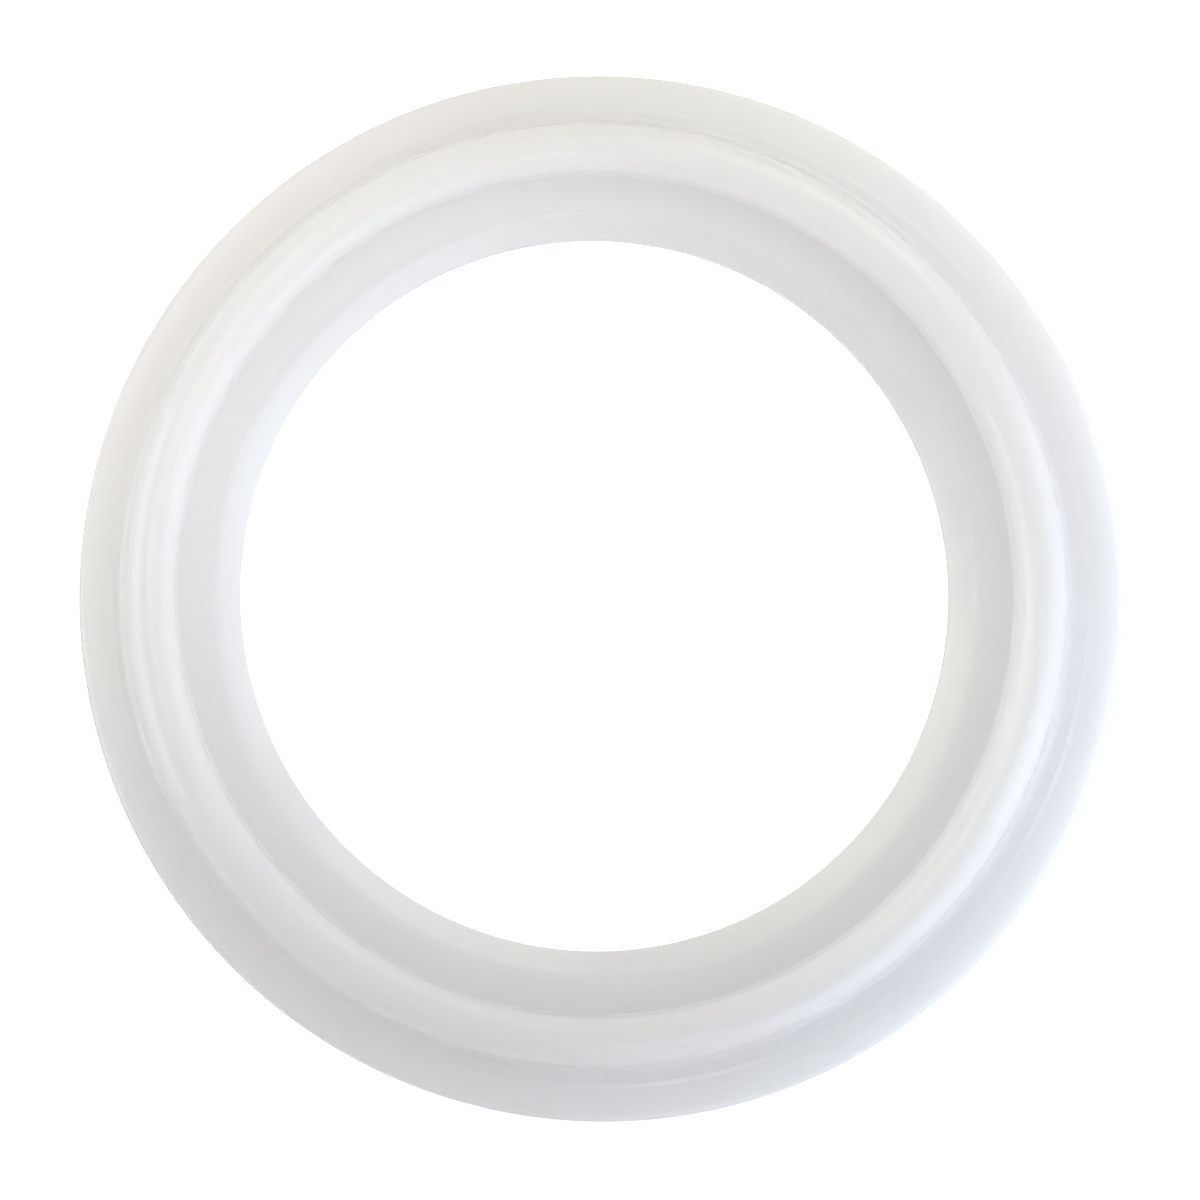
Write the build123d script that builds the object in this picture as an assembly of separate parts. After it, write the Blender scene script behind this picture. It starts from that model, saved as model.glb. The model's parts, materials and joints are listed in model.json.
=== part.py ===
"""Sanitary clamp gasket: a ring moulded in one piece for a 1.5 in (38 mm) clamped ferrule joint.

The ring lies flat with +Z along the bore axis. The origin is on that axis, in the middle
of the web's thickness, and every section is the same above and below that plane.
"""
import os
from math import acos, atan2, cos, sin

from build123d import *

# Driving dimensions, mm. The widths follow each other from the bore out to the rim.
BORE_DIAMETER = 34.4        # clear way through the ring, in line with the tube's bore
BORE_WALL = 0.5             # height of the straight wall left at the mould's parting plane
BEVEL_WIDTH = 1.28          # bevelled inner edge, from the bore wall out to the web's face
LAND_WIDTH = 1.77           # flat face between the bevel and the bead
BEAD_WIDTH = 2.6            # across the bead where it leaves the web
FLANGE_WIDTH = 2.4          # flat face between the bead and the trimmed rim
WEB_THICKNESS = 2.0         # flat part clamped between the ferrule faces
BEAD_HEIGHT = 1.5           # above the web's face
BEAD_CROWN_RADIUS = 1.0     # rounded top of the bead
RIM_OFFSET = (0.36, -0.11)  # the trimming die sat this far off the bore axis
RIM_EDGE = 0.25             # soft corner left on the outer edge

# Worked out from the sizes above
bore_radius = BORE_DIAMETER / 2
bead_radius = bore_radius + BEVEL_WIDTH + LAND_WIDTH + BEAD_WIDTH / 2  # 43.1 mm groove circle
rim_radius = bead_radius + BEAD_WIDTH / 2 + FLANGE_WIDTH               # 50.5 mm ferrule flange
face_z = WEB_THICKNESS / 2
crest_z = face_z + BEAD_HEIGHT
blank_radius = rim_radius + FLANGE_WIDTH                               # web as moulded, before its trim


def both_sides(upper):
    """Edges drawn above the middle plane, and the same below it."""
    return upper + [edge.mirror(Plane.XZ) for edge in upper]


def web_section():
    """Half of the web's section: bore wall, bevelled inner edge, flat land and moulded blank."""
    upper = Polyline(
        (bore_radius, 0),
        (bore_radius, BORE_WALL / 2),
        (bore_radius + BEVEL_WIDTH, face_z),
        (blank_radius, face_z),
        (blank_radius, 0),
    )
    return make_face(Wire(both_sides(list(upper.edges()))))


def bead_section():
    """The double bead: two round crowns whose flanks run down, tangent, to the web's faces."""
    half_width = BEAD_WIDTH / 2
    crown_z = crest_z - BEAD_CROWN_RADIUS
    to_corner = Vector(half_width, face_z - crown_z)
    tangent_angle = atan2(to_corner.Y, to_corner.X) + acos(BEAD_CROWN_RADIUS / to_corner.length)
    crown_half_width = BEAD_CROWN_RADIUS * cos(tangent_angle)
    flank_top_z = crown_z + BEAD_CROWN_RADIUS * sin(tangent_angle)

    outer_foot, inner_foot = [(bead_radius + side * half_width, face_z) for side in (1, -1)]
    outer_top, inner_top = [(bead_radius + side * crown_half_width, flank_top_z) for side in (1, -1)]
    crown = ThreePointArc(outer_top, (bead_radius, crest_z), inner_top)
    upper = [Line(outer_foot, outer_top), crown, Line(inner_top, inner_foot)]
    through_web = [Line((radius, face_z), (radius, -face_z)) for radius, _ in (outer_foot, inner_foot)]
    return make_face(Wire(both_sides(upper) + through_web))


def moulding():
    """The ring as it leaves the mould: web and beads turned about the bore axis."""
    return revolve(Plane.XZ * (web_section() + bead_section()), Axis.Z)


def gasket():
    """The moulding cut to its outer edge, a little off the bore axis, with both corners softened."""
    die = Pos(*RIM_OFFSET) * Cylinder(rim_radius, 2 * crest_z)
    ring = moulding() & die
    circles = ring.edges().filter_by(GeomType.CIRCLE)
    return chamfer(circles.filter_by(lambda circle: abs(circle.radius - rim_radius) < 1e-6), RIM_EDGE)


os.makedirs("parts", exist_ok=True)
export_step(gasket(), "parts/gasket.step")
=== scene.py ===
"""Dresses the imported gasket: a smooth moulded ring of milky silicone, lying on a white floor."""
import json
from math import acos, atan2, cos, hypot, pi, radians, sin, tan

import bpy
from mathutils import Matrix, Vector


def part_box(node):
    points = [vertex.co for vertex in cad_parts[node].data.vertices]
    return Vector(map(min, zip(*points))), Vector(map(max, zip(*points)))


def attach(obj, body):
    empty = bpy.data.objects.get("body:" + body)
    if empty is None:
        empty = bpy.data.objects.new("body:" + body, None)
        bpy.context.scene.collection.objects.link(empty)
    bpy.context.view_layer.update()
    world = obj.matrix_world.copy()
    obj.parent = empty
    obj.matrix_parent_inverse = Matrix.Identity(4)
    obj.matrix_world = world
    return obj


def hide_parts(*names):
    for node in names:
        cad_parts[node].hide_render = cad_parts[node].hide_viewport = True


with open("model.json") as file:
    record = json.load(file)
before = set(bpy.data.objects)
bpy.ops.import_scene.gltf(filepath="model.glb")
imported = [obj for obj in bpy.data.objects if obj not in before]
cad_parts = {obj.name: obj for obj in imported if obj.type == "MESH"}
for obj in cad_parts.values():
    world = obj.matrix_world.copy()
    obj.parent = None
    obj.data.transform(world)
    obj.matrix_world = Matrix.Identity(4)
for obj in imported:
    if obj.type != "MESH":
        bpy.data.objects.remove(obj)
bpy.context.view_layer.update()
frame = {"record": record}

MM = 0.001

# The ring's main sizes, in metres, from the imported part's mounts and box
mounts = {mount["name"]: mount for mount in frame["record"]["mounts"]}
low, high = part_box("gasket")
BORE_R = mounts["bore"]["dims"]["r_mm"] * MM
BORE_WALL = mounts["bore"]["dims"]["length_mm"] * MM
RIM_R = mounts["rim"]["dims"]["r_mm"] * MM
RIM_CENTRE = Vector(mounts["rim"]["pos_m"])
FACE_Z = mounts["upper_land"]["pos_m"][2]
CREST_Z = high.z

# Widths and radii of the moulded forms
BEVEL_WIDTH = 1.28 * MM
BEAD_R = 21.55 * MM
BEAD_HALF_WIDTH = 1.3 * MM
CROWN_R = 1.2 * MM
PAD_R = 23.45 * MM              # ring left on the flange by the pad that held it for trimming
PAD_STEP = 0.04 * MM
PAD_STEP_WIDTH = 0.22 * MM
TRIM_START = 0.1 * MM           # outside the bead, where the web starts to follow the rim's centre

# Roundings of the section's corners
BORE_EDGE_R = 0.12 * MM
BEVEL_EDGE_R = 1.15 * MM
INNER_FOOT_R = 0.10 * MM
OUTER_FOOT_R = 0.42 * MM
PAD_EDGE_R = 0.05 * MM
RIM_EDGE_R = 0.3 * MM

# How finely the mesh follows the form
SEGMENTS = 540
ROUNDING_STEPS = 6
CROWN_STEPS = 28
RIM_EDGE_STEPS = 8
LONGEST_RUN = 0.50 * MM

# The silicone: how white the thick beads are, the painted shade that makes the thin web greyer,
# and its scattering
WEB_PAINTED_SHADE_WHITE = 0.86
BEAD_MILK = 0.885
WEB_SHADE_BLEND = 0.1                # share of the crest's height over which thin turns to thick
SILICONE_IOR = 1.41
SCATTER_DEPTH = 8.0 * MM
SCATTER_TINT = (1.0, 0.97, 0.94)

# Waves per metre of the silicone's unevenness
CLOUD = 90
HAZE = 260
SWELL = 240
GRAIN = 2600

# The floor: its real glow, and how much whiter the camera alone sees it
FLOOR_GLOW = 0.12
FLOOR_LIFT = 0.40
FLOOR_HALF = 3.0
FLOOR_WHITE = 0.95

# The camera: its distance, its lean and what it takes in
CAMERA_AWAY = 0.30
CAMERA_AZIMUTH = radians(211)
CAMERA_TILT = radians(6.5)
CAMERA_AIM = Vector((-0.19 * MM, -0.135 * MM, 0))
FRAME_WIDTH = 57.98 * MM
SENSOR_WIDTH = 36.0


def rounded(corners):
    """Points along a line of corners, with each corner rounded.

    A corner is (radius, height, rounding), and may add the steps in its rounding.
    """
    points = [Vector(corners[0][:2])]
    for before, corner, after in zip(corners, corners[1:], corners[2:]):
        here = Vector(corner[:2])
        back = (Vector(before[:2]) - here).normalized()
        ahead = (Vector(after[:2]) - here).normalized()
        if not corner[2]:
            points.append(here)
            continue
        half = back.angle(ahead) / 2
        centre = here + (back + ahead).normalized() * corner[2] / sin(half)
        start = here + back * corner[2] / tan(half)
        end = here + ahead * corner[2] / tan(half)
        first, last = start - centre, end - centre
        turn = first.angle_signed(last)
        count = corner[3] if len(corner) > 3 else ROUNDING_STEPS
        for i in range(count + 1):
            angle = -turn * i / count
            points.append(centre + Vector((
                first.x * cos(angle) - first.y * sin(angle),
                first.x * sin(angle) + first.y * cos(angle),
            )))
    points.append(Vector(corners[-1][:2]))
    return points


def subdivided(points, longest):
    """The same line with no run longer than the given length."""
    dense = [points[0]]
    for start, end in zip(points, points[1:]):
        count = max(1, round((end - start).length / longest + 0.499))
        dense += [start.lerp(end, i / count) for i in range(1, count + 1)]
    return dense


def upper_profile():
    """(radius, height) from the middle of the bore wall over the top to the middle of the rim."""
    crown_z = CREST_Z - CROWN_R - FACE_Z
    reach = hypot(BEAD_HALF_WIDTH, crown_z)
    tangent = acos(CROWN_R / reach) - atan2(crown_z, BEAD_HALF_WIDTH)
    apex_z = FACE_Z + BEAD_HALF_WIDTH / tan(tangent)
    corners = [
        (BORE_R, 0, 0),
        (BORE_R, BORE_WALL / 2, BORE_EDGE_R),
        (BORE_R + BEVEL_WIDTH, FACE_Z, BEVEL_EDGE_R),
        (BEAD_R - BEAD_HALF_WIDTH, FACE_Z, INNER_FOOT_R),
        (BEAD_R, apex_z, CROWN_R, CROWN_STEPS),
        (BEAD_R + BEAD_HALF_WIDTH, FACE_Z, OUTER_FOOT_R),
        (PAD_R, FACE_Z, PAD_EDGE_R),
        (PAD_R + PAD_STEP_WIDTH, FACE_Z - PAD_STEP, PAD_EDGE_R),
        (RIM_R, FACE_Z - PAD_STEP, RIM_EDGE_R, RIM_EDGE_STEPS),
        (RIM_R, 0, 0),
    ]
    return subdivided(rounded(corners), LONGEST_RUN)


def ring_mesh():
    """The whole ring, round the bore as far as the bead and round the trimmed rim outside it."""
    upper = upper_profile()
    lower = [Vector((point.x, -point.y)) for point in reversed(upper[1:-1])]
    profile = upper + lower
    foot = BEAD_R + BEAD_HALF_WIDTH + TRIM_START
    verts = []
    for i in range(SEGMENTS):
        angle = 2 * pi * i / SEGMENTS
        for point in profile:
            share = min(max((point.x - foot) / (PAD_R - foot), 0), 1)
            share = share * share * (3 - 2 * share)
            verts.append((
                point.x * cos(angle) + RIM_CENTRE.x * share,
                point.x * sin(angle) + RIM_CENTRE.y * share,
                point.y,
            ))
    n = len(profile)
    faces = []
    for i in range(SEGMENTS):
        j = (i + 1) % SEGMENTS
        for k in range(n):
            m = (k + 1) % n
            faces.append((i * n + k, j * n + k, j * n + m, i * n + m))
    mesh = bpy.data.meshes.new("gasket_ring")
    mesh.from_pydata(verts, [], faces)
    mesh.validate()
    mesh.update()
    mesh.shade_smooth()
    return mesh


class Nodes:
    """Short names for building a material's nodes."""

    def __init__(self, name):
        self.material = bpy.data.materials.new(name)
        self.material.use_nodes = True
        self.tree = self.material.node_tree
        self.shader = self.tree.nodes["Principled BSDF"]

    def add(self, kind, **values):
        node = self.tree.nodes.new(kind)
        for key, value in values.items():
            if hasattr(node, key):
                setattr(node, key, value)
            else:
                node.inputs[key.replace("_", " ")].default_value = value
        return node

    def link(self, source, target):
        self.tree.links.new(source, target)

    def place(self):
        """The ring's own coordinates, in metres."""
        node = self.tree.nodes.get("Texture Coordinate") or self.add("ShaderNodeTexCoord")
        return node.outputs["Object"]

    def noise(self, scale, detail, roughness=0.5):
        """Noise in the ring's own coordinates; scale is waves per metre."""
        node = self.add("ShaderNodeTexNoise", Scale=scale, Detail=detail, Roughness=roughness)
        self.link(self.place(), node.inputs["Vector"])
        return node.outputs["Fac"]

    def math(self, operation, source, value=0.0):
        node = self.add("ShaderNodeMath", operation=operation)
        self.link(source, node.inputs[0])
        node.inputs[1].default_value = value
        return node.outputs["Value"]

    def ramp(self, source, *stops):
        """A grey for each stop's place along the source's value."""
        node = self.add("ShaderNodeValToRGB")
        elements = node.color_ramp.elements
        while len(elements) < len(stops):
            elements.new(1)
        for element, (place, grey) in zip(elements, stops):
            element.position = place
            element.color = (grey, grey, grey, 1)
        self.link(source, node.inputs["Fac"])
        return node.outputs["Color"]


def silicone():
    """Milky translucent silicone: light spreads inside it, under a soft moulded gloss."""
    nodes = Nodes("milky_silicone")
    shader = nodes.shader
    shader.inputs["IOR"].default_value = SILICONE_IOR
    shader.inputs["Subsurface Weight"].default_value = 1.0
    shader.inputs["Subsurface Scale"].default_value = SCATTER_DEPTH
    shader.inputs["Subsurface Radius"].default_value = SCATTER_TINT

    # Painted shade: the thin web's base colour is greyer than the thick beads', standing in for
    # the light that passes through the web
    split = nodes.add("ShaderNodeSeparateXYZ")
    nodes.link(nodes.place(), split.inputs["Vector"])
    height = nodes.math("ABSOLUTE", split.outputs["Z"])
    thick = nodes.math("MULTIPLY", height, 1 / CREST_Z)
    web_share = FACE_Z / CREST_Z
    milk_and_web_shade = nodes.ramp(thick, (web_share, WEB_PAINTED_SHADE_WHITE), (web_share + WEB_SHADE_BLEND, BEAD_MILK))
    cloud = nodes.ramp(nodes.noise(CLOUD, 1), (0.3, 0.99), (0.7, 1.01))
    colour = nodes.add("ShaderNodeMix", data_type="RGBA", blend_type="MULTIPLY")
    colour.inputs["Factor"].default_value = 1.0
    nodes.link(milk_and_web_shade, colour.inputs["A"])
    nodes.link(cloud, colour.inputs["B"])
    nodes.link(colour.outputs["Result"], shader.inputs["Base Color"])

    # A slightly uneven gloss over a fine grain and a broad, shallow swell
    rough = nodes.ramp(nodes.noise(HAZE, 4, 0.6), (0.3, 0.17), (0.7, 0.22))
    nodes.link(rough, shader.inputs["Roughness"])
    fine = nodes.add("ShaderNodeBump", Strength=0.10, Distance=0.02 * MM)
    nodes.link(nodes.noise(GRAIN, 3, 0.6), fine.inputs["Height"])
    broad = nodes.add("ShaderNodeBump", Strength=0.15, Distance=0.08 * MM)
    nodes.link(nodes.noise(SWELL, 2), broad.inputs["Height"])
    nodes.link(fine.outputs["Normal"], broad.inputs["Normal"])
    nodes.link(broad.outputs["Normal"], shader.inputs["Normal"])
    return nodes.material


def ring():
    """The gasket, in place of its plain solid."""
    obj = bpy.data.objects.new("gasket_ring", ring_mesh())
    bpy.context.scene.collection.objects.link(obj)
    obj.data.materials.append(silicone())
    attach(obj, "root")
    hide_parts("gasket")


def floor():
    """A plain white floor under the ring; its real light is lower than what the camera sees."""
    nodes = Nodes("white_floor")
    shader = nodes.shader
    shader.inputs["Base Color"].default_value = (FLOOR_WHITE, FLOOR_WHITE, FLOOR_WHITE, 1)
    shader.inputs["Roughness"].default_value = 0.9
    shader.inputs["Specular IOR Level"].default_value = 0.0
    shader.inputs["Emission Color"].default_value = (1, 1, 1, 1)
    seen = nodes.add("ShaderNodeLightPath").outputs["Is Camera Ray"]
    lift = nodes.math("MULTIPLY", seen, FLOOR_LIFT)
    nodes.link(nodes.math("ADD", lift, FLOOR_GLOW), shader.inputs["Emission Strength"])
    mesh = bpy.data.meshes.new("floor")
    corners = ((-1, -1), (1, -1), (1, 1), (-1, 1))
    mesh.from_pydata(
        [(x * FLOOR_HALF, y * FLOOR_HALF, low.z) for x, y in corners], [], [(0, 1, 2, 3)]
    )
    obj = bpy.data.objects.new("floor", mesh)
    bpy.context.scene.collection.objects.link(obj)
    mesh.materials.append(nodes.material)


def softbox(name, azimuth, elevation, distance, size, power, colour):
    """A square area light aimed at the ring, from a compass direction round it and a height."""
    lamp = bpy.data.lights.new(name, "AREA")
    lamp.shape = "SQUARE"
    lamp.size = size
    lamp.energy = power
    lamp.color = colour
    obj = bpy.data.objects.new(name, lamp)
    bpy.context.scene.collection.objects.link(obj)
    az, el = radians(azimuth), radians(elevation)
    direction = Vector((cos(el) * cos(az), cos(el) * sin(az), sin(el)))
    obj.location = RIM_CENTRE + direction * distance
    obj.rotation_euler = direction.to_track_quat("Z", "Y").to_euler()


def lights():
    """Low soft windows at the sides, small soft lights near the ring and two small lamps above."""
    world = bpy.data.worlds.new("studio")
    bpy.context.scene.world = world
    world.use_nodes = True
    background = world.node_tree.nodes["Background"]
    background.inputs["Color"].default_value = (0.95, 0.97, 1.0, 1)
    background.inputs["Strength"].default_value = 0.02
    # name, azimuth and elevation in degrees, distance and size in metres, power in watts, colour
    softbox("left_window", 178, 12, 0.30, 0.30, 0.72, (1.0, 0.98, 0.96))
    softbox("front_window", 300, 12, 0.30, 0.30, 0.36, (1.0, 0.88, 0.76))
    softbox("right_window", 325, 24, 0.20, 0.20, 0.17, (0.60, 0.78, 1.0))
    softbox("right_near", 0, 22, 0.13, 0.12, 0.076, (0.84, 0.88, 1.0))
    softbox("back_near", 60, 30, 0.08, 0.05, 0.0145, (1.0, 0.92, 0.74))
    softbox("back_left_near", 110, 30, 0.08, 0.05, 0.0060, (1.0, 0.97, 0.95))
    softbox("left_near", 140, 60, 0.06, 0.04, 0.0090, (1.0, 0.95, 0.86))
    softbox("glint_lamp", -10, 62, 0.30, 0.03, 0.034, (0.98, 0.98, 1.0))
    softbox("front_lamp", 288, 60, 0.30, 0.03, 0.030, (1.0, 0.98, 0.94))


def camera():
    """Nearly straight down, leaning a little towards the lower left."""
    cam = bpy.data.cameras.new("camera")
    cam.sensor_width = SENSOR_WIDTH
    cam.lens = SENSOR_WIDTH * CAMERA_AWAY / FRAME_WIDTH
    cam.clip_start = 0.01
    cam.clip_end = 20
    obj = bpy.data.objects.new("camera", cam)
    bpy.context.scene.collection.objects.link(obj)
    lean = Vector((
        sin(CAMERA_TILT) * cos(CAMERA_AZIMUTH),
        sin(CAMERA_TILT) * sin(CAMERA_AZIMUTH),
        cos(CAMERA_TILT),
    ))
    obj.location = RIM_CENTRE + CAMERA_AIM + lean * CAMERA_AWAY
    across = Vector((0, 1, 0)).cross(lean).normalized()
    axes = Matrix((across, lean.cross(across), lean)).transposed()
    obj.rotation_euler = axes.to_euler()
    bpy.context.scene.camera = obj


ring()
floor()
lights()
camera()
bpy.context.scene.view_settings.view_transform = "Standard"
